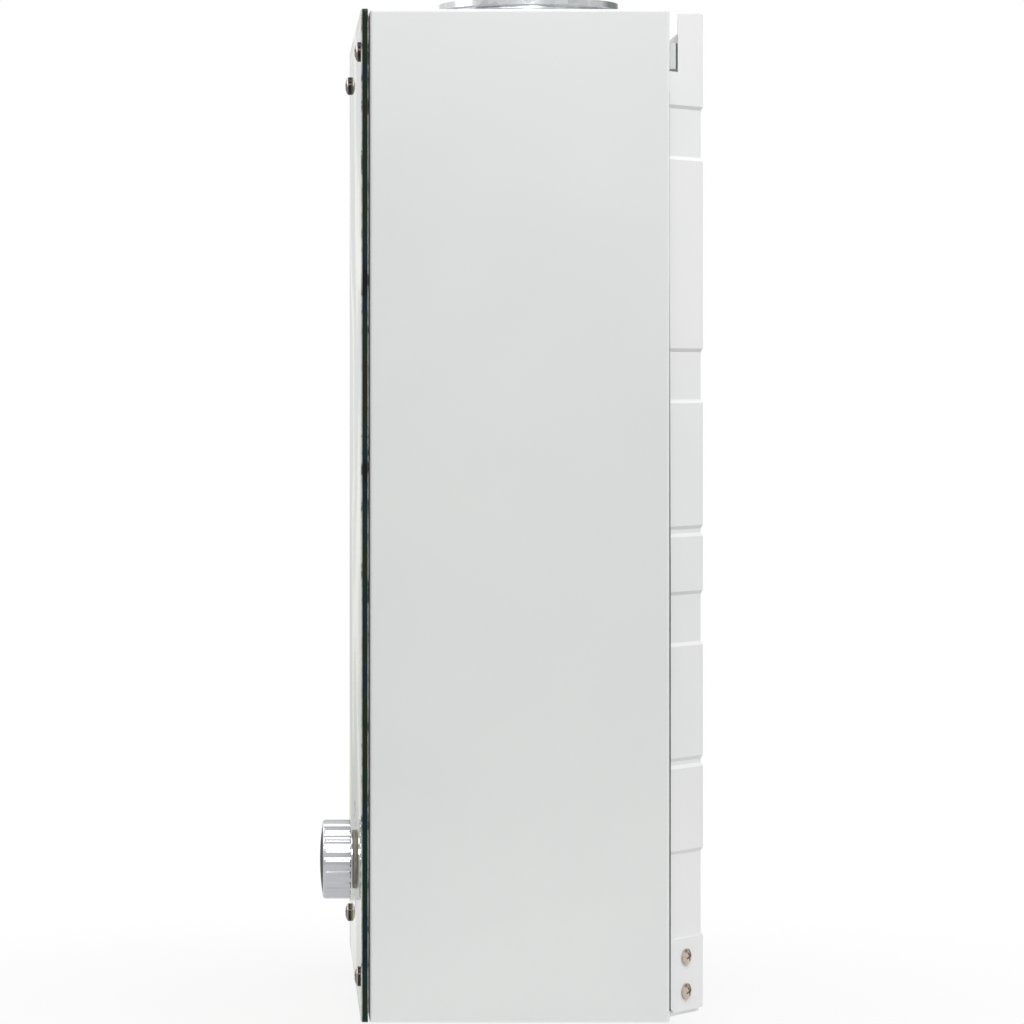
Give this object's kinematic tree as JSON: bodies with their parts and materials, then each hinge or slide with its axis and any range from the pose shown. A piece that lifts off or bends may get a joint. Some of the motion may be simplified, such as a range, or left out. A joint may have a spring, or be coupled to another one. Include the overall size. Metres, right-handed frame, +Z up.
{
  "type": "gas water heater",
  "caption": "Wall-hung instantaneous gas water heater: white sheet-steel case, glass front with fluted control knob, flue collar on top, pressed back plate and pipe stubs below.",
  "frame": {"origin": "on the wall plane, midway between the two hanging holes", "axes": "+X to the right of a person facing the front, +Y into the wall, +Z up"},
  "size_m": [0.331, 0.2096, 0.58],
  "materials": {
    "casing_paint": "white stove enamel, satin gloss",
    "back_paint": "white stove enamel over pressed steel",
    "floor_steel": "galvanised sheet",
    "plated_steel": "zinc plated",
    "nickel": "polished nickel plate",
    "glass": "toughened glass with polished edges and a printed back",
    "spacer_rubber": "black rubber washer",
    "knob_aluminium": "turned and fluted, satin",
    "bush_plastic": "moulded",
    "flue_steel": "bright aluminised sheet",
    "copper": "bare copper",
    "burner_steel": "stainless sheet",
    "cast_aluminium": "as cast",
    "brass": "machined brass",
    "black_plastic": "moulded",
    "ceramic": "glazed ceramic",
    "cell_jacket": "printed jacket without lettering"
  },
  "bodies": {
    "heater": {"back_plate": "back_paint", "top_hooks": "back_paint", "lower_bracket": "back_paint", "bracket_screws": "plated_steel", "bottom_plate": "floor_steel", "floor_rim": "floor_steel", "casing": "casing_paint", "casing_screws": "plated_steel", "glass_panel": "glass", "glass_spacers": "spacer_rubber", "glass_screws": "nickel", "glass_nuts": "plated_steel", "knob_bush": "bush_plastic", "flue_collar": "flue_steel", "draught_hood": "flue_steel", "exchanger_case": "copper", "exchanger_fins": "copper", "exchanger_tubes": "copper", "fire_chamber": "copper", "chamber_coil": "copper", "chamber_brackets": "plated_steel", "burner_blades": "burner_steel", "burner_frame": "plated_steel", "gas_manifold": "cast_aluminium", "gas_jets": "brass", "gas_riser": "cast_aluminium", "gas_valve": "cast_aluminium", "gas_solenoid": "black_plastic", "gland_nut": "brass", "gas_inlet": "brass", "water_valve": "brass", "diaphragm_cover": "brass", "diaphragm_screws": "plated_steel", "microswitch": "black_plastic", "cold_inlet": "brass", "cold_riser": "copper", "hot_pipe": "copper", "hot_outlet": "brass", "pipe_locknuts": "brass", "union_nuts": "brass", "ignition_electrode": "ceramic", "flame_sensor": "ceramic", "electrode_plate": "plated_steel", "limit_thermostat": "black_plastic", "flue_thermostat": "black_plastic", "control_box": "black_plastic", "battery_box": "black_plastic", "battery_cells": "cell_jacket", "lid_pin": "plated_steel"},
    "knob": {"knob": "knob_aluminium", "knob_cap": "knob_aluminium", "spindle": "plated_steel"},
    "battery_lid": {"battery_lid": "black_plastic", "lid_contacts": "plated_steel"}
  },
  "joints": [
    {"name": "knob_turn", "type": "hinge", "parent": "heater", "child": "knob", "pos_m": [0, -0.1911, -0.45], "axis": [0, -1, 0], "range_deg": [-135, 135]},
    {"name": "battery_lid_hinge", "type": "hinge", "parent": "heater", "child": "battery_lid", "pos_m": [0.0763, -0.1216, -0.5197], "axis": [0, 1, 0], "range_deg": [0, 95]}
  ]
}
